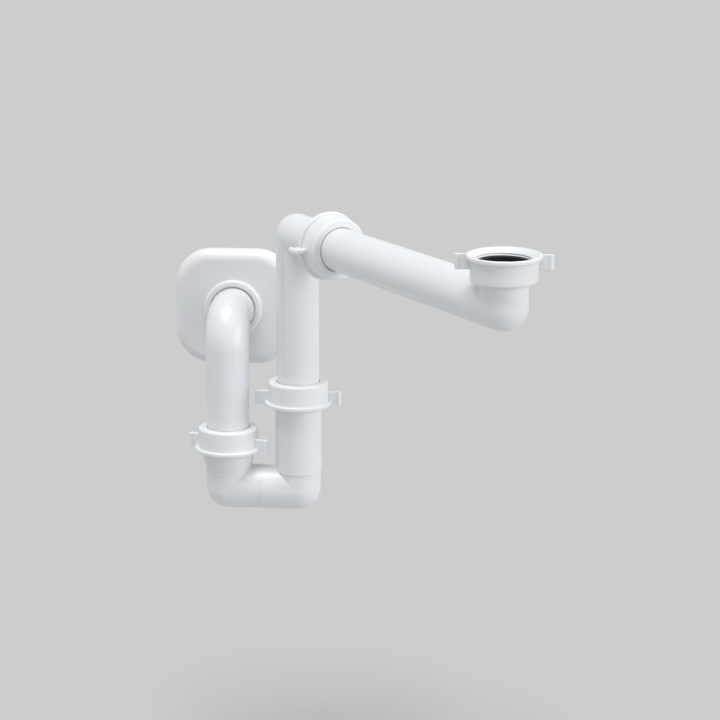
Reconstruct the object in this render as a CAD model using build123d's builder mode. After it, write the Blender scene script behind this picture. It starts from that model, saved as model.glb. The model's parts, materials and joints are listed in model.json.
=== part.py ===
from build123d import *
from math import cos, radians, sin
import os

# Space saving sink trap in moulded polypropylene, millimetres.
# Origin: on the axis of the wall spigot, in the plane of the finished wall.
# +X runs along the wall to the right, +Y into the wall, +Z up.

# Pipe system
pipe_od = 40.0
pipe_wall = 2.0
pipe_end_lead = 0.7

# Places of the runs
wall_reach = 64.0
limb_spacing = 67.0
outlet_drop = 126.0
short_limb = 35.6
tall_limb = 81.6
riser_height = 162.7
arm_bearing = -54.6
arm_length = 341.0

# Thread of the nuts, a smooth wall here: G 1 1/2 has its pitch radius this far outside a 40 mm pipe
thread_rise = 3.16
thread_half_height = 0.74
thread_play = 0.04
thread_depth = 15.0
thread_engaged = 12.0

# Clearances
slide_play = 0.06
seat_gap = 0.15
loose_gap = 0.3
nut_hole_gap = 0.6

# Wing nut
nut_seal_room = 4.8
nut_end_wall = 3.0
nut_wall = 5.4
nut_band_draft = 0.5
nut_flange_rim = 3.1
nut_flange_t = 4.0
nut_flange_round = 1.3
nut_end_round = 2.0
nut_mouth_lead = 0.9
wing_stand_out = 9.1
wing_height = 13.0
wing_thickness = 3.6
wing_bead_d = 5.4
wing_round = 1.0
outlet_wing_turn = -17.0

# Slip ring and wedge seal of a compression joint
slip_ring_t = 2.2
slip_ring_edge = 0.4
seal_wedge_depth = 5.0
seal_wedge_slope = 0.3
seal_toe = 1.2

# Outlet pipe
outlet_bend_r = 26.0
outlet_insertion = 29.0
outlet_straight = 66.0
outlet_swell = 0.6
spigot_in_wall = 60.0

# Trap bend
bend_swell = 0.9
bend_wall = 2.0
short_socket_shoulder = 0.5
short_socket_taper = 6.5
short_socket_step_out = 0.6
short_socket_step = 6.0
short_socket_lap = 3.5
short_socket_floor_gap = 2.0
tall_socket_wall = 1.84
tall_socket_foot = 16.6
tall_socket_lap = 5.0
socket_foot_round = 0.5
seam_width = 1.0
seam_height = 0.5

# Down pipe
riser_insertion = 45.0
elbow_nut_reach = 55.0
elbow_socket_wall = 2.14
elbow_socket_taper = 4.0
elbow_socket_lap = 3.0
elbow_socket_floor_gap = 1.0

# Inlet arm
arm_insertion = 21.0
arm_straight = 60.0
arm_swell = 0.8
arm_corner_lead = 3.0
spigot_draft = 0.4
inlet_flange_t = 3.5
gasket_depth = 6.0
gasket_t = 4.0
gasket_lip = 0.5

# Wall rosette
rosette_size = 112.0
rosette_corner_r = 34.0
rosette_depth = 14.0
rosette_edge_r = 10.0
rosette_wall = 2.0
rosette_collar_width = 6.9
rosette_collar_height = 4.0
rosette_collar_round = 3.0
rosette_collar_lip = 1.6
rosette_collar_dish = 2.4

# Radii that follow from the pipe
pipe_r = pipe_od / 2
bore_r = pipe_r - pipe_wall
outlet_top_r = pipe_r + outlet_swell
arm_end_r = pipe_r + arm_swell
inlet_spigot_r = arm_end_r - spigot_draft
bend_r = pipe_r + bend_swell
bend_bore_r = bend_r - bend_wall
socket_bore_r = pipe_r + slide_play
gasket_bore_r = bore_r - gasket_lip

# Radii that follow from the thread
thread_r = pipe_r + thread_rise
nut_bore_r = thread_r + thread_play
male_thread_r = thread_r - thread_play
male_lead_r = male_thread_r - thread_half_height
pass_r = thread_r - thread_half_height - seat_gap
chamber_r = pass_r + slide_play
nut_band_r = nut_bore_r + nut_wall
nut_flange_r = nut_band_r + nut_flange_rim
wing_reach = nut_flange_r + wing_stand_out

# Sockets
short_socket_r = nut_bore_r + short_socket_shoulder
short_socket_step_r = bend_r + short_socket_step_out
tall_socket_r = socket_bore_r + tall_socket_wall
elbow_socket_r = socket_bore_r + elbow_socket_wall
wedge_rim_r = socket_bore_r + seal_wedge_slope * seal_wedge_depth

# Heights inside a nut, from its mouth
nut_shelf = thread_depth + nut_seal_room
nut_height = nut_shelf + nut_end_wall

# Heights of the runs
outlet_nut_z = -outlet_drop
bend_axis_z = outlet_nut_z - short_limb
riser_nut_z = bend_axis_z + tall_limb
arm_axis_z = riser_nut_z + riser_height

# Ways of the runs, and their corners
along = Vector(1, 0, 0)
up = Vector(0, 0, 1)
arm_dir = Vector(cos(radians(arm_bearing)), sin(radians(arm_bearing)), 0)
leg_foot = Vector(0, -wall_reach, bend_axis_z)
riser_foot = Vector(limb_spacing, -wall_reach, bend_axis_z)
riser_top = Vector(limb_spacing, -wall_reach, arm_axis_z)
inlet_corner = riser_top + arm_dir * arm_length
inlet_mouth_z = arm_axis_z + arm_end_r + loose_gap + nut_height

# Seats: the mouth plane of each nut, with its axis towards the nut's closed end
wing_bearing = radians(outlet_wing_turn)
outlet_seat = Plane(origin=(0, -wall_reach, outlet_nut_z),
                    x_dir=(cos(wing_bearing), sin(wing_bearing), 0), z_dir=(0, 0, 1))
riser_seat = Plane(origin=(limb_spacing, -wall_reach, riser_nut_z), x_dir=(1, 0, 0), z_dir=(0, 0, 1))
elbow_seat = Plane(origin=riser_top + arm_dir * elbow_nut_reach,
                   x_dir=(-arm_dir.Y, arm_dir.X, 0), z_dir=arm_dir)
inlet_seat = Plane(origin=(inlet_corner.X, inlet_corner.Y, inlet_mouth_z), x_dir=(1, 0, 0), z_dir=(0, 0, -1))

# Runs: planes that look along the pipes
wall_seat = Plane(origin=(0, 0, 0), x_dir=(1, 0, 0), z_dir=(0, -1, 0))
cross_run = Plane(origin=leg_foot, x_dir=(0, 1, 0), z_dir=(1, 0, 0))
leg_run = Plane(origin=leg_foot, x_dir=(1, 0, 0), z_dir=(0, 0, 1))
riser_run = Plane(origin=riser_foot, x_dir=(1, 0, 0), z_dir=(0, 0, 1))

# Frames of the two pieces that turn to the arm's bearing
elbow_frame = Plane(origin=riser_top, x_dir=arm_dir, z_dir=(0, 0, 1))
arm_frame = Plane(origin=inlet_corner, x_dir=arm_dir, z_dir=(0, 0, 1))


def axial_plane(seat):
    """Plane through a seat's axis: local X is the radius, local Y runs along the axis."""
    return Plane(origin=seat.origin, x_dir=seat.x_dir, z_dir=-seat.y_dir)


def turned(seat, points, mode=Mode.ADD):
    """Revolve a closed section of (radius, height) points about a seat's axis."""
    with BuildSketch(axial_plane(seat)) as section:
        with BuildLine():
            Polyline(*points, close=True)
        make_face()
    revolve(section.sketch, axis=Axis(seat.origin, seat.z_dir), mode=mode)


def rod(run, start, end, start_r, end_r=None, mode=Mode.ADD):
    """Round bar, straight or tapered, between two distances along a run."""
    tip_r = start_r if end_r is None else end_r
    turned(run, [(0, start), (start_r, start), (tip_r, end), (0, end)], mode)


def pipe_from(run, start, end):
    """Straight length of pipe, still solid, with a chamfered lead at its free end."""
    turned(run, [(0, start), (pipe_r - pipe_end_lead, start), (pipe_r, start + pipe_end_lead),
                 (pipe_r, end), (0, end)])


def bend(start, hinge, radius, mode=Mode.ADD):
    """Quarter bend of a round bar about a hinge axis."""
    with BuildSketch(start) as section:
        Circle(radius)
    revolve(section.sketch, axis=hinge, revolution_arc=90, mode=mode)


def corner(centre, one_way, other_way):
    """Place for a corner ball: poles on the hinge of the two runs, seam towards the inside."""
    return Plane(origin=centre, x_dir=one_way + other_way, z_dir=one_way.cross(other_way))


def ball(place, radius, mode=Mode.ADD):
    """Ball that rounds the outer corner where two runs meet."""
    with Locations(place):
        Sphere(radius, mode=mode)


def compression_socket(run, floor, rim):
    """Bore of a socket: straight for the pipe, with a flared rim for the wedge seal."""
    turned(run, [(0, floor), (socket_bore_r, floor), (socket_bore_r, rim - seal_wedge_depth),
                 (wedge_rim_r, rim), (0, rim)], Mode.SUBTRACT)


def rims_at(part, seat, height):
    """Round edges that lie at one height above a seat."""
    return [edge for edge in part.edges().filter_by(GeomType.CIRCLE)
            if abs((edge.arc_center - seat.origin).dot(seat.z_dir) - height) < slide_play]


def wing_nut(through_r):
    """Wing nut: flanged mouth in the XY plane, two beaded wings, closed end with a hole."""
    hole_r = through_r + nut_hole_gap
    bead_centre = wing_reach - wing_bead_d / 2
    with BuildPart() as nut:
        turned(Plane.XY, [(0, 0), (nut_flange_r, 0), (nut_flange_r, nut_flange_t),
                          (nut_band_r, nut_flange_t), (nut_band_r - nut_band_draft, nut_height),
                          (0, nut_height)])
        fillet(rims_at(nut, Plane.XY, nut_height), radius=nut_end_round)
        flange_rims = rims_at(nut, Plane.XY, 0) + rims_at(nut, Plane.XY, nut_flange_t)
        fillet([rim for rim in flange_rims if rim.radius > nut_band_r + slide_play], radius=nut_flange_round)
        with BuildSketch():
            Rectangle(2 * bead_centre, wing_thickness)
            with PolarLocations(bead_centre, 2):
                Circle(wing_bead_d / 2)
        extrude(amount=wing_height)
        crests = [edge for edge in nut.edges() if abs(edge.center().Z - wing_height) < slide_play
                  and abs(edge.center().X) > nut_band_r]
        fillet(crests, radius=wing_round)
        turned(Plane.XY, [(0, 0), (nut_bore_r + nut_mouth_lead, 0), (nut_bore_r, nut_mouth_lead),
                          (nut_bore_r, thread_depth), (chamber_r, thread_depth), (chamber_r, nut_shelf),
                          (hole_r, nut_shelf), (hole_r, nut_height), (0, nut_height)], Mode.SUBTRACT)
    return nut


def slip_ring():
    """Flat ring under the nut's end wall, which keeps the turning nut from twisting the seal."""
    with BuildPart() as ring:
        turned(Plane.XY, [(pipe_r + loose_gap, nut_shelf - slip_ring_t), (pass_r, nut_shelf - slip_ring_t),
                          (pass_r, nut_shelf), (pipe_r + loose_gap, nut_shelf)])
        chamfer(ring.edges().filter_by(GeomType.CIRCLE), length=slip_ring_edge)
    return ring


def wedge_seal():
    """Tapered rubber ring: its head rests on the socket's rim and its wedge enters the flare."""
    toe = thread_engaged - seal_wedge_depth + seal_toe
    with BuildPart() as seal:
        turned(Plane.XY, [(socket_bore_r, toe),
                          (socket_bore_r + seal_wedge_slope * seal_toe - seat_gap, toe),
                          (wedge_rim_r - seat_gap, thread_engaged), (pass_r, thread_engaged),
                          (pass_r, nut_shelf - slip_ring_t), (socket_bore_r, nut_shelf - slip_ring_t)])
    return seal


# Outlet pipe: leg down into the trap bend, round bend, spigot into the wall
leg_end_z = outlet_nut_z + thread_engaged - outlet_insertion
leg_bend_z = -outlet_bend_r
bend_start = Plane(origin=(0, -wall_reach, leg_bend_z), x_dir=(1, 0, 0), z_dir=(0, 0, 1))
bend_hinge = Axis((0, outlet_bend_r - wall_reach, leg_bend_z), (-1, 0, 0))
with BuildPart() as outlet_pipe:
    pipe_from(leg_run, leg_end_z - bend_axis_z, leg_end_z + outlet_straight - bend_axis_z)
    rod(leg_run, leg_end_z + outlet_straight - bend_axis_z, leg_bend_z - bend_axis_z, pipe_r, outlet_top_r)
    bend(bend_start, bend_hinge, outlet_top_r)
    rod(wall_seat, 0, wall_reach - outlet_bend_r, pipe_r, outlet_top_r)
    pipe_from(wall_seat, -spigot_in_wall, 0)
    rod(leg_run, leg_end_z - bend_axis_z, leg_bend_z - bend_axis_z, bore_r, mode=Mode.SUBTRACT)
    bend(bend_start, bend_hinge, bore_r, Mode.SUBTRACT)
    rod(wall_seat, -spigot_in_wall, wall_reach - outlet_bend_r, bore_r, mode=Mode.SUBTRACT)

# Trap bend: two limbs and a cross run with ball corners, a short and a tall socket, a seam
cross_mid = limb_spacing / 2
leg_corner = corner(leg_foot, along, up)
riser_corner = corner(riser_foot, -along, up)
short_rim = short_limb + thread_engaged
tall_rim = tall_limb + thread_engaged
short_floor = short_rim - outlet_insertion - short_socket_floor_gap
short_foot = short_floor - short_socket_lap
short_flare = short_foot + short_socket_step
tall_floor = tall_socket_foot + tall_socket_lap
with BuildPart() as trap_bend:
    rod(cross_run, 0, limb_spacing, bend_r)
    rod(cross_run, cross_mid - seam_width / 2, cross_mid + seam_width / 2, bend_r + seam_height)
    ball(leg_corner, bend_r)
    ball(riser_corner, bend_r)
    turned(leg_run, [(0, 0), (bend_r, 0), (bend_r, short_foot),
                     (short_socket_step_r, short_foot + socket_foot_round),
                     (short_socket_step_r, short_flare), (short_socket_r, short_flare + short_socket_taper),
                     (short_socket_r, short_limb), (male_thread_r, short_limb),
                     (male_thread_r, short_rim - thread_half_height), (male_lead_r, short_rim),
                     (0, short_rim)])
    turned(riser_run, [(0, 0), (bend_r, 0), (bend_r, tall_socket_foot),
                       (tall_socket_r - socket_foot_round, tall_socket_foot),
                       (tall_socket_r, tall_socket_foot + socket_foot_round), (tall_socket_r, tall_limb),
                       (male_thread_r, tall_limb), (male_thread_r, tall_rim - thread_half_height),
                       (male_lead_r, tall_rim), (0, tall_rim)])
    rod(cross_run, 0, limb_spacing, bend_bore_r, mode=Mode.SUBTRACT)
    ball(leg_corner, bend_bore_r, Mode.SUBTRACT)
    ball(riser_corner, bend_bore_r, Mode.SUBTRACT)
    rod(leg_run, 0, short_limb, bend_bore_r, mode=Mode.SUBTRACT)
    rod(riser_run, 0, tall_limb, bend_bore_r, mode=Mode.SUBTRACT)
    compression_socket(leg_run, short_floor, short_rim)
    compression_socket(riser_run, tall_floor, tall_rim)

# Down pipe, made with its corner at the origin and its elbow socket along X, then turned to its bearing
riser_drop = arm_axis_z - bend_axis_z - tall_rim + riser_insertion
elbow_rim = elbow_nut_reach + thread_engaged
elbow_floor = elbow_rim - arm_insertion - elbow_socket_floor_gap
elbow_foot = elbow_floor - elbow_socket_lap
elbow_corner = corner(Vector(0, 0, 0), -up, along)
with BuildPart() as down_pipe:
    pipe_from(Plane.XY, -riser_drop, 0)
    ball(elbow_corner, pipe_r)
    turned(Plane.YZ, [(0, 0), (pipe_r, 0), (pipe_r, elbow_foot),
                      (elbow_socket_r, elbow_foot + elbow_socket_taper), (elbow_socket_r, elbow_nut_reach),
                      (male_thread_r, elbow_nut_reach), (male_thread_r, elbow_rim - thread_half_height),
                      (male_lead_r, elbow_rim), (0, elbow_rim)])
    rod(Plane.XY, -riser_drop, 0, bore_r, mode=Mode.SUBTRACT)
    ball(elbow_corner, bore_r, Mode.SUBTRACT)
    rod(Plane.YZ, 0, elbow_nut_reach, bore_r, mode=Mode.SUBTRACT)
    compression_socket(Plane.YZ, elbow_floor, elbow_rim)

# Inlet arm, made with its corner at the origin and its pipe along -X, then turned to its bearing:
# straight pipe that tapers up to the corner, and the flanged inlet spigot
arm_end = elbow_rim - arm_insertion - arm_length
flange_top = inlet_mouth_z - gasket_depth - gasket_t - arm_axis_z
flange_foot = flange_top - inlet_flange_t
corner_lead = arm_end_r + arm_corner_lead
arm_corner = corner(Vector(0, 0, 0), -along, up)
with BuildPart() as inlet_arm:
    pipe_from(Plane.YZ, arm_end, arm_end + arm_straight)
    rod(Plane.YZ, arm_end + arm_straight, -corner_lead, pipe_r, arm_end_r)
    rod(Plane.YZ, -corner_lead, 0, arm_end_r)
    ball(arm_corner, arm_end_r)
    turned(Plane.XY, [(0, 0), (arm_end_r, 0), (arm_end_r, corner_lead), (inlet_spigot_r, flange_foot),
                      (pass_r, flange_foot), (pass_r, flange_top), (0, flange_top)])
    rod(Plane.YZ, arm_end, 0, bore_r, mode=Mode.SUBTRACT)
    ball(arm_corner, bore_r, Mode.SUBTRACT)
    rod(Plane.XY, 0, flange_top, bore_r, mode=Mode.SUBTRACT)

# Inlet gasket: flat black ring on the spigot's flange, made in the arm's frame
with BuildPart() as inlet_gasket:
    turned(Plane.XY, [(gasket_bore_r, flange_top), (pass_r, flange_top),
                      (pass_r, flange_top + gasket_t), (gasket_bore_r, flange_top + gasket_t)])
    chamfer(inlet_gasket.edges().filter_by(GeomType.CIRCLE), length=slip_ring_edge)

# Wall rosette: domed square cover with a dished collar round the spigot
rosette_hole_r = outlet_top_r + loose_gap
rosette_collar_r = rosette_hole_r + rosette_collar_width
collar_top = rosette_depth + rosette_collar_height
with BuildPart() as wall_rosette:
    with BuildSketch(wall_seat):
        RectangleRounded(rosette_size, rosette_size, rosette_corner_r)
    extrude(amount=rosette_depth)
    crown = wall_rosette.faces().sort_by(Axis(wall_seat.origin, wall_seat.z_dir))[-1]
    fillet(crown.edges(), radius=rosette_edge_r)
    back = wall_rosette.faces().sort_by(Axis(wall_seat.origin, wall_seat.z_dir))[0]
    offset(amount=-rosette_wall, openings=back)
    turned(wall_seat, [(0, rosette_depth - rosette_wall), (rosette_collar_r, rosette_depth - rosette_wall),
                       (rosette_collar_r, collar_top), (rosette_hole_r + rosette_collar_lip, collar_top),
                       (rosette_hole_r, collar_top - rosette_collar_dish),
                       (0, collar_top - rosette_collar_dish)])
    fillet([rim for rim in rims_at(wall_rosette, wall_seat, collar_top)
            if rim.radius > rosette_collar_r - slide_play], radius=rosette_collar_round)
    turned(wall_seat, [(rosette_hole_r + rosette_wall, 0), (rosette_collar_r - rosette_wall, 0),
                       (rosette_collar_r - rosette_wall, rosette_depth),
                       (rosette_hole_r + rosette_wall, rosette_depth)], Mode.SUBTRACT)
    rod(wall_seat, 0, collar_top, rosette_hole_r, mode=Mode.SUBTRACT)

# Compression joints: a nut, a slip ring and a seal, made once and placed at each seat
pipe_nut = wing_nut(pipe_r)
spigot_nut = wing_nut(arm_end_r)
joint_ring = slip_ring()
joint_seal = wedge_seal()
pieces = {
    "outlet_pipe": outlet_pipe.part, "wall_rosette": wall_rosette.part, "trap_bend": trap_bend.part,
    "down_pipe": elbow_frame.location * down_pipe.part, "inlet_arm": arm_frame.location * inlet_arm.part,
    "inlet_gasket": arm_frame.location * inlet_gasket.part,
    "inlet_nut": inlet_seat.location * spigot_nut.part,
}
for joint, seat in (("outlet", outlet_seat), ("riser", riser_seat), ("elbow", elbow_seat)):
    pieces[joint + "_nut"] = seat.location * pipe_nut.part
    pieces[joint + "_slip_ring"] = seat.location * joint_ring.part
    pieces[joint + "_seal"] = seat.location * joint_seal.part

os.makedirs("parts", exist_ok=True)
for name, piece in pieces.items():
    piece.label = name
    export_step(piece, f"parts/{name}.step")
    print(name, round(piece.volume / 1000, 2), "cm3")
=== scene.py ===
# %% [markdown]
# # A space saving sink trap
# The object is the plumbing under a kitchen sink or a wash basin: a wall outlet with a rosette, a U bend
# that holds the water seal, a down pipe, and a long arm that reaches out under the bowl. It is moulded
# in a few pieces of white polypropylene, which are joined by hand with wing nuts on rubber seals.
#
# The shapes come from the imported CAD model, which this script loads as a fixed frame. Blender adds what
# CAD leaves out: the threads, the finishes, the light and the camera. The first cell loads the frame.

import json
from collections import namedtuple
from math import cos, pi, radians, sin

import bmesh
import bpy
from mathutils import Matrix, Vector


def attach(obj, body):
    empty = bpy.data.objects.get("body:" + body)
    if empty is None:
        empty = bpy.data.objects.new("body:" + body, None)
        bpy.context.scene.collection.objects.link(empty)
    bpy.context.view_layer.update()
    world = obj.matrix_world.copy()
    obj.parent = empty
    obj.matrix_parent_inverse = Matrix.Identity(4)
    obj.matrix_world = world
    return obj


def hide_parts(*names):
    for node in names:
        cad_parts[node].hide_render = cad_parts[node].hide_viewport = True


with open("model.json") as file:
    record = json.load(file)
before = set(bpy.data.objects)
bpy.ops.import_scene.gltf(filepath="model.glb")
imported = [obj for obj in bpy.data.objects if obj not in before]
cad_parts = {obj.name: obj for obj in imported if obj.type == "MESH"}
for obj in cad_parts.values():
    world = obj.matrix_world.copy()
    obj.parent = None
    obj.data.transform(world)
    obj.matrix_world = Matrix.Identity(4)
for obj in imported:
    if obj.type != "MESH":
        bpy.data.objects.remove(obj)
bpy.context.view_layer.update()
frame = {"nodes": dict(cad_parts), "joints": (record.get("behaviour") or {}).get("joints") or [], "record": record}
mm = 0.001
print("CAD nodes:", sorted(frame["nodes"]))

# %% [markdown]
# ## Where the nuts sit
# Three compression joints and one union nut hold the trap together. Each has a seat: the plane of the
# nut's mouth, with its axis towards the nut's closed end. The frame knows where that is, because a nut's
# turning joint stands in its mouth with its axis along the thread. Only the inlet nut hangs mouth up, so
# its closed end lies against its joint's axis. The numbers could be typed in instead, but read from the
# joints they stay right when the CAD model moves a joint.

# %% Seats of the nuts
up = Vector((0, 0, 1))
joints = {joint["name"]: joint for joint in frame["joints"]}


def seat(joint_name, closed_end=1):
    """Matrix whose origin is the middle of a nut's mouth and whose Z runs to its closed end."""
    joint = joints[joint_name]
    axis = closed_end * Vector(joint["axis"]).normalized()
    return Matrix.Translation(joint["pos_m"]) @ up.rotation_difference(axis).to_matrix().to_4x4()


seats = {
    "outlet_nut": seat("outlet_nut_turn"),
    "riser_nut": seat("riser_nut_turn"),
    "elbow_nut": seat("elbow_nut_turn"),
    "inlet_nut": seat("inlet_nut_spin", closed_end=-1),
}
for name, place in seats.items():
    print(name, "mouth at", [round(x / mm, 1) for x in place.translation], "mm")

# %% [markdown]
# ## The thread as a wave
# The nuts screw onto G 1 1/2 threads, with 11 turns to the inch. A thread is one ridge that winds along
# the wall, so it isn't a stack of rings: its height at a point depends on the turn and on the depth
# together. In CAD the wall is smooth at the pitch radius. A screw modifier could wind a profile, but its
# ends would hang open, so the wall becomes a grid whose radius follows a wave that dies out at an end.
#
# A cosine suits moulded plastic, because its crests and roots are round and its steepest flank is within
# a few degrees of the standard's. A crest lies deeper as the angle grows, which makes the thread
# right-handed.

# %% Thread wave
inch = 25.4 * mm
turns_per_inch = 11
thread_pitch = inch / turns_per_inch
wave_height = 0.70 * mm
fade_length = 1.2 * mm


def wave(angle, depth):
    """Height of the thread above the pitch line at an angle and a depth."""
    return wave_height * cos(2 * pi * depth / thread_pitch - angle)


def fade(distance):
    """0 at a thread's end and 1 once it has its full height, on an S-shaped curve."""
    part = min(max(distance / fade_length, 0), 1)
    return part * part * (3 - 2 * part)


print("thread pitch:", round(thread_pitch / mm, 3), "mm")

# %% [markdown]
# ## The wall of a nut and the wall of a socket
# A nut is threaded inside and a socket outside. Both walls use the same wave with the same phase, which
# makes them mesh, and the joint's pitch keeps them meshed as a nut turns. A real thread has a lead at
# its open end, where the first turn is cut to a cone so that it starts without jamming. The lead could
# be a boolean cut. Here it is the larger of wave and cone in a nut, and the smaller on a socket, which
# leaves clean rings of points. A nut's mouth is dished, so its thread starts under the dish.

# %% Nut and socket walls
nut_wall_r = 23.20 * mm
nut_crest_r = nut_wall_r + wave_height
nut_thread_depth = 15.0 * mm
dish_rim_r = 29.9 * mm
dish_depth = 3.2 * mm
socket_wall_r = 23.12 * mm
socket_tip_r = 22.38 * mm
socket_thread_length = 12.0 * mm


def nut_radius(angle, depth):
    """Inner wall of a nut: a lead cone under the dish, then the thread, which runs out at its depth."""
    cone = nut_crest_r + dish_depth - depth
    return max(cone, nut_wall_r + wave(angle, depth) * fade(nut_thread_depth - depth))


def socket_radius(angle, depth):
    """Outer wall of a socket: the thread rises from the shoulder and ends under a lead cone."""
    cone = socket_tip_r + socket_thread_length - depth
    return min(cone, socket_wall_r + wave(angle, depth) * fade(depth))


print("turns in a nut:", round(nut_thread_depth / thread_pitch, 1))

# %% [markdown]
# ## A copy to work on
# The rest of a nut or a socket is already right in CAD, so each threaded piece starts as a copy of its
# node. The CAD node itself stays as it is and is only hidden. The copy is welded first, because the
# frame's faces don't share points, and its stored normals go, because they would no longer fit the new
# wall.

# %% Copy helper
weld_gap = 0.001 * mm


def welded_copy(node):
    """Copy of a CAD node with its faces joined into one closed skin."""
    piece = bpy.data.objects.new(node + "_threaded", frame["nodes"][node].data.copy())
    bpy.context.scene.collection.objects.link(piece)
    if "custom_normal" in piece.data.attributes:
        piece.data.attributes.remove(piece.data.attributes["custom_normal"])
    shape = bmesh.new()
    shape.from_mesh(piece.data)
    bmesh.ops.remove_doubles(shape, verts=shape.verts, dist=weld_gap)
    shape.to_mesh(piece.data)
    shape.free()
    return piece


print("points closer than", round(weld_gap / mm, 3), "mm are welded")

# %% [markdown]
# ## Taking a smooth wall out
# A wall is told by its seat, its start and end depth, the two radii between which its smooth faces lie,
# and its threaded radius as a function. The faces could be picked by hand in edit mode, but the CAD mesh
# may be cut up anew each time it is made. A test of depth and radius finds them every time, and then finds the
# open rims.

# %% Wall helpers
slack = 0.02 * mm
Wall = namedtuple("Wall", "place start end low_r high_r radius_at")


def lies_on(wall, corners, start, end):
    """True where all corners lie between two depths of a wall's seat and between the wall's two radii."""
    into_seat = wall.place.inverted()
    points = [into_seat @ corner.co for corner in corners]
    deep = all(start - slack < p.z < end + slack for p in points)
    return deep and all(wall.low_r - slack < p.xy.length < wall.high_r + slack for p in points)


def cut_wall(shape, wall):
    """Take the smooth faces of a wall out of a mesh, and tell how many they were."""
    smooth = [face for face in shape.faces if lies_on(wall, face.verts, wall.start, wall.end)]
    bmesh.ops.delete(shape, geom=smooth, context="FACES")
    return len(smooth)


def open_rim(shape, wall, depth):
    """The open edges that a wall leaves at one depth once its faces are out."""
    open_edges = [edge for edge in shape.edges if edge.is_boundary]
    return [edge for edge in open_edges if lies_on(wall, edge.verts, depth, depth)]


print("a wall's faces are found to", round(slack / mm, 3), "mm")

# %% [markdown]
# ## Sewing a threaded wall in
# The thread is a grid of rings, each a row of points at the wall's own radius. The grid stops one row
# short of each open rim, and a bridge sews the two together although their points don't line up. Laying
# the grid over the hole would look the same, but the bridge keeps the piece one closed skin, which a
# print or a bake needs.

# %% Thread helpers
turn_steps = 96
pitch_steps = 14


def add_ring(shape, wall, depth):
    """Add one ring of points to a mesh, at the wall's own radius for each angle."""
    ring = []
    for step in range(turn_steps):
        angle = 2 * pi * step / turn_steps
        radius = wall.radius_at(angle, depth)
        point = Vector((radius * cos(angle), radius * sin(angle), depth))
        ring.append(shape.verts.new(wall.place @ point))
    return ring


def add_wall(shape, wall):
    """Add a threaded wall to a mesh as a grid, and sew both of its ends to the open rims."""
    rims = [open_rim(shape, wall, depth) for depth in (wall.start, wall.end)]
    length = wall.end - wall.start
    rows = round(length / thread_pitch * pitch_steps)
    rings = [add_ring(shape, wall, wall.start + length * row / rows) for row in range(1, rows)]
    for low, high in zip(rings, rings[1:]):
        for step in range(turn_steps):
            shape.faces.new((low[step - 1], low[step], high[step], high[step - 1]))
    for rim, ring in zip(rims, (rings[0], rings[-1])):
        ring_edges = [shape.edges.get((ring[step - 1], ring[step])) for step in range(turn_steps)]
        bmesh.ops.bridge_loops(shape, edges=rim + ring_edges)


print("threaded grid:", turn_steps, "steps a turn,", pitch_steps, "a pitch")

# %% [markdown]
# ## The dish in a nut's mouth
# The photograph looks into the inlet nut: its flange is a thin round lip, and inside it the face falls
# away like a shallow funnel to the first turn of thread. The dish steers the nut onto a socket. Its
# faces could be drawn point by point, but a boolean with a frustum cuts it cleanly through the flat face
# and the wings' feet. The frustum goes on with the same slope a little way out of the mouth, because a
# cutter that ends level with a face leaves slivers.

# %% Dish helpers
dish_slope = (dish_rim_r - nut_crest_r) / dish_depth
stand_out = 0.3 * mm


def dish_cutter(place):
    """Frustum that fills a nut's dish and stands a little way out of its mouth."""
    shape = bmesh.new()
    middle = Matrix.Translation((0, 0, (dish_depth - stand_out) / 2))
    wide_r = dish_rim_r + dish_slope * stand_out
    bmesh.ops.create_cone(shape, cap_ends=True, segments=turn_steps, radius1=wide_r, radius2=nut_crest_r,
                          depth=dish_depth + stand_out, matrix=place @ middle)
    cutter = bpy.data.objects.new("dish", bpy.data.meshes.new("dish"))
    shape.to_mesh(cutter.data)
    shape.free()
    bpy.context.scene.collection.objects.link(cutter)
    return cutter


def cut_dish(piece, place):
    """Cut a funnel from a nut's lip down to where its thread begins."""
    cutter = dish_cutter(place)
    cut = piece.modifiers.new("dish", "BOOLEAN")
    cut.object = cutter
    cut.operation = "DIFFERENCE"
    cut.solver = "EXACT"
    cut_piece = piece.evaluated_get(bpy.context.evaluated_depsgraph_get())
    piece.data = bpy.data.meshes.new_from_object(cut_piece)
    piece.modifiers.clear()
    cutter_mesh = cutter.data
    bpy.data.objects.remove(cutter)
    bpy.data.meshes.remove(cutter_mesh)


print("dish:", round(dish_depth / mm, 1), "mm deep, lip at", round(dish_rim_r / mm, 1), "mm")

# %% [markdown]
# ## Putting a piece together
# A threaded piece is a welded copy, with its dish cut if it is a nut, and each of its smooth walls
# swapped for a thread. It rides with its node's body, so it moves with the joints, and replaces the node
# in the picture. A moulding has a smooth skin and crisp rims. A bevel on every edge would give that too,
# but shading that is smooth up to an angle, and sharp beyond it, needs no more faces.

# %% Piece helper
crease_degrees = 28


def body_of_node(node):
    """Name of the body that a CAD node is in."""
    bodies = frame["record"]["behaviour"]["bodies"]
    return next(body for body, nodes in bodies.items() if node in nodes)


def threaded_piece(node, walls, dished=False):
    """Copy of a CAD node with some of its smooth walls swapped for threads."""
    piece = welded_copy(node)
    if dished:
        cut_dish(piece, walls[0].place)
    shape = bmesh.new()
    shape.from_mesh(piece.data)
    taken = 0
    for wall in walls:
        taken += cut_wall(shape, wall)
        add_wall(shape, wall)
    bmesh.ops.recalc_face_normals(shape, faces=shape.faces)
    still_open = sum(edge.is_boundary for edge in shape.edges)
    shape.to_mesh(piece.data)
    shape.free()
    piece.data.shade_smooth()
    piece.data.set_sharp_from_angle(angle=radians(crease_degrees))
    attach(piece, body_of_node(node))
    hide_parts(node)
    faces = len(piece.data.polygons)
    print(piece.name, "faces taken out:", taken, "faces now:", faces, "open edges:", still_open)
    return piece


print("edges stay sharp above", crease_degrees, "degrees")

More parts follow.
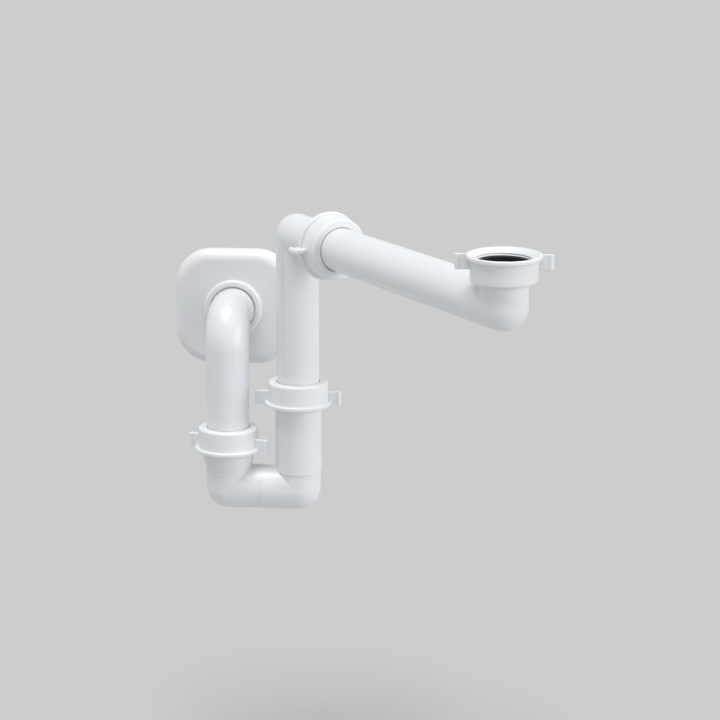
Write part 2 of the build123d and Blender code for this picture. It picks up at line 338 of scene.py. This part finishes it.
# %% [markdown]
# ## Four nuts
# Every nut comes from the same mould, so all four get the dish and the thread. One nut could be made and
# copied to four places, but each CAD node is already in its place, so a loop over the seats is simpler.
# The inlet nut's mouth is open towards the camera and shows its first turns; the others show theirs once
# they are unscrewed.

# %% Threaded nuts
pieces = {}
for node, place in seats.items():
    nut_wall = Wall(place, dish_depth, nut_thread_depth, nut_wall_r, nut_crest_r, nut_radius)
    pieces[node] = threaded_piece(node, [nut_wall], dished=True)

# %% [markdown]
# ## Two sockets on the bend, one on the elbow
# A socket carries the thread outside. At rest its nut hides all of it, so it could be left smooth, but a
# nut that is backed off to free a pipe shows the turns, and they are worth having there.

# %% Threaded sockets
def socket_wall(nut):
    """The wall of the socket that a nut screws onto."""
    return Wall(seats[nut], 0, socket_thread_length, socket_tip_r, socket_wall_r, socket_radius)


pieces["trap_bend"] = threaded_piece("trap_bend", [socket_wall("outlet_nut"), socket_wall("riser_nut")])
pieces["down_pipe"] = threaded_piece("down_pipe", [socket_wall("elbow_nut")])

# %% [markdown]
# ## Writing shaders as sums
# A finish is easier to read as a formula than as a list of links between nodes. This class wraps one
# output of a node, and the usual signs add the Math nodes for it, also with the number on the left, as
# in 1 - mask.

# %% Links
class Link:
    """One output of a node, which can stand in a sum as a number does."""

    def __init__(self, finish, socket):
        self.finish = finish
        self.socket = socket

    def math(self, operation, *terms):
        """Add a Math node that takes the terms in their order."""
        return self.finish.add("ShaderNodeMath", {"operation": operation}, dict(enumerate(terms)))

    def __add__(self, other):
        return self.math("ADD", self, other)

    def __sub__(self, other):
        return self.math("SUBTRACT", self, other)

    def __rsub__(self, other):
        return self.math("SUBTRACT", other, self)

    def __mul__(self, other):
        return self.math("MULTIPLY", self, other)

    __radd__ = __add__
    __rmul__ = __mul__


print("signs between links and numbers: + - *")

# %% [markdown]
# ## One method for every other node
# Noises, bumps and mixes all come from one method, add. It takes the node's type, its settings, which go
# first because they can change the node's sockets, and a value or a link for each socket that matters.
# The nodes could be laid out by hand in the shader editor, but a method makes a finish short enough to
# compare.

# %% Finishes
class Finish:
    """The nodes of a material or of the world, with the method that adds any node to them."""

    def __init__(self, owner, shader="Principled BSDF"):
        owner.use_nodes = True
        self.owner = owner
        self.tree = owner.node_tree
        self.shader = self.tree.nodes[shader]

    def add(self, kind, settings=None, inputs=None, output=0):
        """Add a node, and return one of its outputs as a link."""
        node = self.tree.nodes.new(kind)
        for name, value in (settings or {}).items():
            setattr(node, name, value)
        for name, value in (inputs or {}).items():
            self.put(node.inputs[name], value)
        return Link(self, node.outputs[output])

    def put(self, socket, value):
        """Give a socket a link or a plain value."""
        if isinstance(value, Link):
            self.tree.links.new(value.socket, socket)
        else:
            socket.default_value = value

    def set(self, **values):
        """Fill sockets of the shader itself, with _ for each space in a socket's name."""
        for name, value in values.items():
            self.put(self.shader.inputs[name.replace("_", " ")], value)


def new_finish(name):
    """A new material, ready for nodes."""
    return Finish(bpy.data.materials.new(name))


print("a finish starts from the Principled BSDF")

# %% [markdown]
# ## Noises, tints and bumps
# Three small helpers serve all the finishes: a noise with a chosen grain, a tint that moves a colour
# between two shades, and a bump. Noise works everywhere on a piece with no unwrapping, which an image
# would need, and a grain in millimetres is easier to judge than a scale. All grains and depths of bumps
# are in millimetres. A Mix node has a pair of inputs for each kind of value, all called A and B, so the
# pair for colours is picked by its number.

# %% Finish helpers
mix_first = 6
mix_second = 7
mix_result = 2
noise_middle = 0.5


def noise(finish, grain_mm, detail=2.0, rough=0.5):
    """Soft noise around its middle value, whose spots are about as wide as the grain."""
    place_on_piece = finish.add("ShaderNodeTexCoord", output="Object")
    inputs = {"Vector": place_on_piece, "Scale": 1 / (grain_mm * mm), "Detail": detail, "Roughness": rough}
    return finish.add("ShaderNodeTexNoise", inputs=inputs)


def tint(finish, factor, first, second):
    """Colour between two others, each a shade of three numbers or a link."""
    first, second = [c if isinstance(c, Link) else (*c, 1) for c in (first, second)]
    inputs = {"Factor": factor, mix_first: first, mix_second: second}
    return finish.add("ShaderNodeMix", {"data_type": "RGBA"}, inputs, output=mix_result)


def bump(finish, height, depth_mm, under=None):
    """Normal from a height between 0 and 1 of the given depth, on top of another bump if there is one."""
    inputs = {"Height": height, "Distance": depth_mm * mm}
    if under is not None:
        inputs["Normal"] = under
    return finish.add("ShaderNodeBump", inputs=inputs)


print("a grain of 1 mm is a noise scale of", round(1 / mm))

# %% [markdown]
# ## White polypropylene
# Polypropylene comes out of the mould with a satin gloss. It isn't quite opaque, so light enters it a
# little and shadows stay soft; a low subsurface weight does this. Up close the skin has a fine grain
# from the steel, and broad faces sink by hundredths of a millimetre while they cool, which makes
# highlights wander. Two bumps of very different grain give both. The tone drifts by a percent or two, as
# no moulding is perfectly even. A plain white with one roughness would be quicker, but it looks like
# paper.
#
# Four versions of the finish set the pieces a little apart: the pipes are the glossiest, the nuts and
# the rosette come next, and the slip rings are duller and slightly greyer.

# %% Polypropylene
drift_grain = 55
flow_grain = 9
sink_grain = 26
sink_depth = 0.05
skin_depth = 0.006
drift_share = 0.7
flow_swing = 0.10
skin_swing = 0.06
finishes = {}


def polypropylene(name, dark, light, roughness, grain_mm):
    """White plastic between two shades, with its mean roughness and the grain of its skin."""
    finish = new_finish(name)
    drift = noise(finish, drift_grain)
    flow = noise(finish, flow_grain, detail=4)
    skin = noise(finish, grain_mm, detail=3)
    sinks = bump(finish, noise(finish, sink_grain, detail=1), sink_depth)
    finish.set(Base_Color=tint(finish, drift_share * drift + (1 - drift_share) * flow, dark, light))
    flow_part = flow_swing * (flow - noise_middle)
    skin_part = skin_swing * (skin - noise_middle)
    finish.set(Roughness=roughness + flow_part + skin_part)
    finish.set(Normal=bump(finish, skin, skin_depth, under=sinks))
    finish.set(IOR=1.49, Subsurface_Weight=0.12, Subsurface_Scale=2 * mm)
    finishes[name] = finish.owner


polypropylene("pipe_plastic", (0.765, 0.785, 0.805), (0.805, 0.825, 0.84), roughness=0.30, grain_mm=0.5)
polypropylene("nut_plastic", (0.775, 0.795, 0.81), (0.81, 0.83, 0.845), roughness=0.33, grain_mm=0.4)
polypropylene("rosette_plastic", (0.78, 0.795, 0.81), (0.815, 0.83, 0.845), roughness=0.36, grain_mm=0.6)
polypropylene("ring_plastic", (0.70, 0.72, 0.72), (0.75, 0.765, 0.765), roughness=0.42, grain_mm=0.3)
print("white finishes:", list(finishes))

# %% [markdown]
# ## Rubber
# The flat gasket in the inlet nut is black rubber, and the wedge seals in the sockets are grey. Rubber
# has a dull skin with a light bloom, so its roughness is high and its tone is cloudy. Talc from the
# mould sits in the grain as pale specks. They could be scattered as tiny pieces, but a mask that keeps
# only the peaks of the grain puts them in the right places, because the same grain makes the bump.

# %% Rubber
bloom_grain = 7
rubber_grain = 0.35
rubber_depth = 0.02
speck_from = 0.66
speck_full = 0.72
speck_share = 0.35
rubber_roughness = 0.62
bloom_swing = 0.2


def rubber(name, dark, light, speck):
    """Rubber whose bloom goes between two shades, with talc specks of one grey."""
    finish = new_finish(name)
    bloom = noise(finish, bloom_grain, detail=5, rough=0.6)
    grain = noise(finish, rubber_grain)
    peaks = {"Value": grain, "From Min": speck_from, "From Max": speck_full}
    specks = finish.add("ShaderNodeMapRange", inputs=peaks)
    cloud = tint(finish, bloom, dark, light)
    finish.set(Base_Color=tint(finish, speck_share * specks, cloud, (speck, speck, speck)))
    finish.set(Roughness=rubber_roughness + bloom_swing * (bloom - noise_middle))
    finish.set(Normal=bump(finish, grain, rubber_depth), IOR=1.52, Specular_IOR_Level=0.18)
    finishes[name] = finish.owner


rubber("gasket_rubber", (0.005, 0.007, 0.010), (0.012, 0.016, 0.021), speck=0.07)
rubber("seal_rubber", (0.060, 0.063, 0.066), (0.085, 0.088, 0.092), speck=0.20)
print("all finishes:", list(finishes))

# %% [markdown]
# ## Which piece gets which finish
# The record names a material slot for every CAD node, and each finish has the name of its slot. The new
# finishes take the place of the CAD model's flat ones. They could be set piece by piece, but going by
# slot makes a piece and its copy agree, and a later repaint of a slot reaches both.

# %% Assign the finishes
slot_of = {part["node"]: part["material_slot"] for part in frame["record"]["subparts"]}


def dress(solid, slot):
    """Put a slot's finish on all faces of a solid."""
    for held in solid.material_slots:
        held.material = finishes[slot]


for node, solid in frame["nodes"].items():
    dress(solid, slot_of[node])
for node, piece in pieces.items():
    dress(piece, slot_of[node])
print("nodes by finish:", {slot: sum(s == slot for s in slot_of.values()) for slot in finishes})

# %% [markdown]
# ## Floor
# Such a trap hangs on the wall, a good way above the floor. The floor is a wide pale plane at that
# depth, so it catches a soft shadow out of the object's way. A curved sweep behind the object would hide
# the horizon too, but it would stand in the way of the views from behind. The floor's tone is faintly
# cloudy, as a painted floor's is.

# %% Floor
floor_z = -0.45
floor_width = 60
floor_tone = (0.482, 0.482, 0.482)
floor_shade = [0.98 * c for c in floor_tone]
floor_roughness = 0.9
cloud_grain = 400

bpy.ops.mesh.primitive_plane_add(size=floor_width, location=(0, 0, floor_z))
floor = bpy.context.object
floor.name = "floor"
floor_finish = new_finish("floor")
cloud = noise(floor_finish, cloud_grain)
floor_finish.set(Base_Color=tint(floor_finish, cloud, floor_shade, floor_tone), Roughness=floor_roughness)
floor.data.materials.append(floor_finish.owner)
print("floor at", floor_z, "m")

# %% [markdown]
# ## Backdrop
# The world shows the floor's pale tone wherever the eye meets it, straight or in a reflection, while the
# light that it sheds on everything else is set apart from that. One strength for both would be simpler,
# but then the backdrop and the light on the pipes couldn't be matched to the photograph one by one.

# %% World
world_tone = (0.60, 0.605, 0.61, 1)
world_light = 0.94


def in_view(finish):
    """1 where the eye meets the world, also in a reflection or through glass, and 0 for its light."""
    kinds = ("Is Camera Ray", "Is Glossy Ray", "Is Transmission Ray")
    straight, mirrored, through = [finish.add("ShaderNodeLightPath", output=kind) for kind in kinds]
    seen = straight + mirrored + through
    # A ray can be of two kinds at once, so the sum is held at 1.
    return seen.math("MINIMUM", seen, 1)


world = bpy.data.worlds.new("studio")
bpy.context.scene.world = world
studio = Finish(world, "Background")
studio.set(Color=world_tone, Strength=world_light + (1 - world_light) * in_view(studio))
print("world light:", world_light, "of what the eye sees")

# %% [markdown]
# ## Light
# The photograph has soft light from above and from the right: the pipes are brightest on their right and
# top, and fall off to a clean grey on the left and underneath. Two area lamps would do it in a studio.
# Two sun lamps do it here, because a sun has no falloff, so the floor stays even to the horizon, and a
# wide angle makes its shadow as soft as a large softbox would. The top sun rounds the arm and the bend,
# and the low key on the right rounds the upright pipes.

# %% Lamps
def soft_sun(name, towards, spread, strength):
    """A sun that stands in one direction, seen over an angle of so many degrees."""
    data = bpy.data.lights.new(name, "SUN")
    data.angle = radians(spread)
    data.energy = strength
    lamp = bpy.data.objects.new(name, data)
    lamp.rotation_euler = Vector(towards).to_track_quat("Z", "Y").to_euler()
    bpy.context.scene.collection.objects.link(lamp)


soft_sun("top", towards=(-0.12, -0.20, 0.97), spread=35, strength=1.85)
soft_sun("key", towards=(0.93, -0.28, 0.22), spread=40, strength=1.4)
print("lamps:", [o.name for o in bpy.context.scene.objects if o.type == "LIGHT"])

# %% [markdown]
# ## Camera
# The photograph was taken from 14 degrees above and slightly from the right, from about two and a half
# metres. A wide lens close by would frame the object as well, but a long lens at that distance keeps the
# pipes parallel, as they look in the photograph. The numbers come from a camera that was fitted to edges
# of the object.

# %% Camera
looks_down = 14.30
looks_left = 4.26
camera_data = bpy.data.cameras.new("camera")
camera_data.sensor_width = 36
camera_data.lens = 130.66
camera = bpy.data.objects.new("camera", camera_data)
camera.location = (0.3022, -2.4368, 0.5704)
camera.rotation_euler = (radians(90 - looks_down), 0, radians(looks_left))
bpy.context.scene.collection.objects.link(camera)
bpy.context.scene.camera = camera
bpy.context.scene.view_settings.view_transform = "Standard"
print("camera at", tuple(round(x, 3) for x in camera.location))
